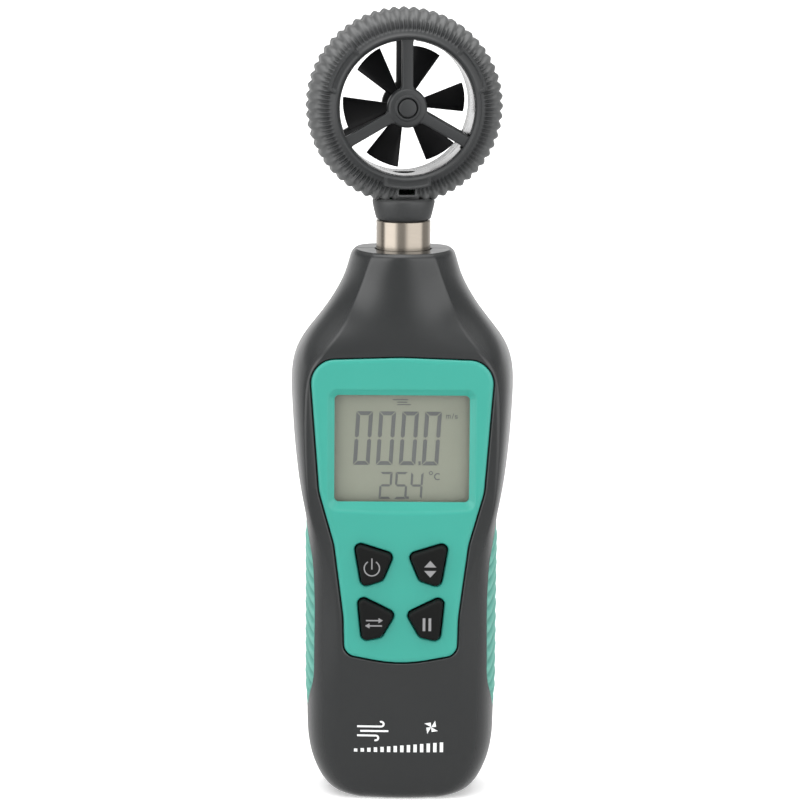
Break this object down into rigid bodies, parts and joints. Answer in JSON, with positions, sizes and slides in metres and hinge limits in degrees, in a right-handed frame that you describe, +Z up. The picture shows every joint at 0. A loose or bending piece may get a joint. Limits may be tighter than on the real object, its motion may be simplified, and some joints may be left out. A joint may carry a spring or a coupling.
{
  "type": "vane anemometer",
  "caption": "Hand-held vane anemometer: a ribbed vane head with a bladed rotor swivels on a short tube above a waisted case with a display, keys and a battery cover.",
  "frame": {"origin": "on the flat base of the case, directly below the axis that the vane head swivels on", "axes": "+Z up the handle to the vane head, -Y out of the display, +X to the right of someone reading the display"},
  "size_m": [0.05, 0.0317, 0.1772],
  "materials": {
    "case_plastic": "semi-gloss moulded",
    "head_plastic": "satin moulded",
    "panel_plastic": "satin moulded",
    "grip_rubber": "soft touch, ribbed",
    "key_rubber": "matt",
    "black_plastic": "satin moulded",
    "black_rubber": "matt",
    "clear_window": "clear",
    "display_glass": "reflective grey-green",
    "diffuser": "translucent white",
    "circuit_board": "solder mask",
    "cell_sleeve": "printed sleeve, plain",
    "steel": "plated",
    "nickel": "turned and nickel plated",
    "bright_metal": "turned",
    "bearing_brass": "turned"
  },
  "bodies": {
    "case": {"front_shell": "case_plastic", "rear_shell": "case_plastic", "front_panel": "panel_plastic", "grip_left": "grip_rubber", "grip_right": "grip_rubber", "lcd_window": "clear_window", "lcd_glass": "display_glass", "lcd_backlight": "diffuser", "zebra_connector": "black_rubber", "main_board": "circuit_board", "mcu_chip": "black_plastic", "keypad_membrane": "black_rubber", "sensor_cable": "black_rubber", "board_screw_1": "steel", "board_screw_2": "steel", "board_screw_3": "steel", "board_screw_4": "steel", "case_screw_1": "steel", "case_screw_2": "steel", "case_screw_3": "steel", "case_screw_4": "steel", "battery_1": "cell_sleeve", "battery_2": "cell_sleeve", "battery_3": "cell_sleeve", "contact_plus": "steel", "contact_minus": "steel", "contact_bridge_lower": "steel", "contact_bridge_upper": "steel"},
    "head": {"head_front_shell": "head_plastic", "head_rear_shell": "head_plastic", "front_hub_cap": "head_plastic", "rear_hub_cap": "head_plastic", "duct_sleeve": "bright_metal", "front_bearing": "bearing_brass", "rear_bearing": "bearing_brass", "sensor_board": "circuit_board", "pickup_sensor": "black_plastic", "thermistor": "black_plastic", "head_screw_1": "steel", "head_screw_2": "steel", "head_screw_3": "steel", "neck_tube": "nickel", "neck_retaining_ring": "steel"},
    "rotor": {"impeller": "black_plastic", "impeller_shaft": "steel"},
    "power_key": {"key_power": "key_rubber"},
    "peak_key": {"key_peak": "key_rubber"},
    "unit_key": {"key_unit": "key_rubber"},
    "hold_key": {"key_hold": "key_rubber"},
    "cover": {"battery_cover": "case_plastic"}
  },
  "joints": [
    {"name": "head_swivel", "type": "hinge", "parent": "case", "child": "head", "pos_m": [0, 0, 0.12], "axis": [0, 0, 1], "range_deg": [-96, 84]},
    {"name": "impeller_spin", "type": "hinge", "parent": "head", "child": "rotor", "pos_m": [0, 0, 0.1553], "axis": [0.1045, -0.9945, 0], "continuous": true},
    {"name": "key_power_press", "type": "slide", "parent": "case", "child": "power_key", "axis": [0, 1, 0], "range_m": [0, 0.0008]},
    {"name": "key_peak_press", "type": "slide", "parent": "case", "child": "peak_key", "axis": [0, 1, 0], "range_m": [0, 0.0008]},
    {"name": "key_unit_press", "type": "slide", "parent": "case", "child": "unit_key", "axis": [0, 1, 0], "range_m": [0, 0.0008]},
    {"name": "key_hold_press", "type": "slide", "parent": "case", "child": "hold_key", "axis": [0, 1, 0], "range_m": [0, 0.0008]},
    {"name": "battery_cover_lift", "type": "slide", "parent": "case", "child": "cover", "axis": [0, 1, 0], "range_m": [0, 0.03]}
  ]
}
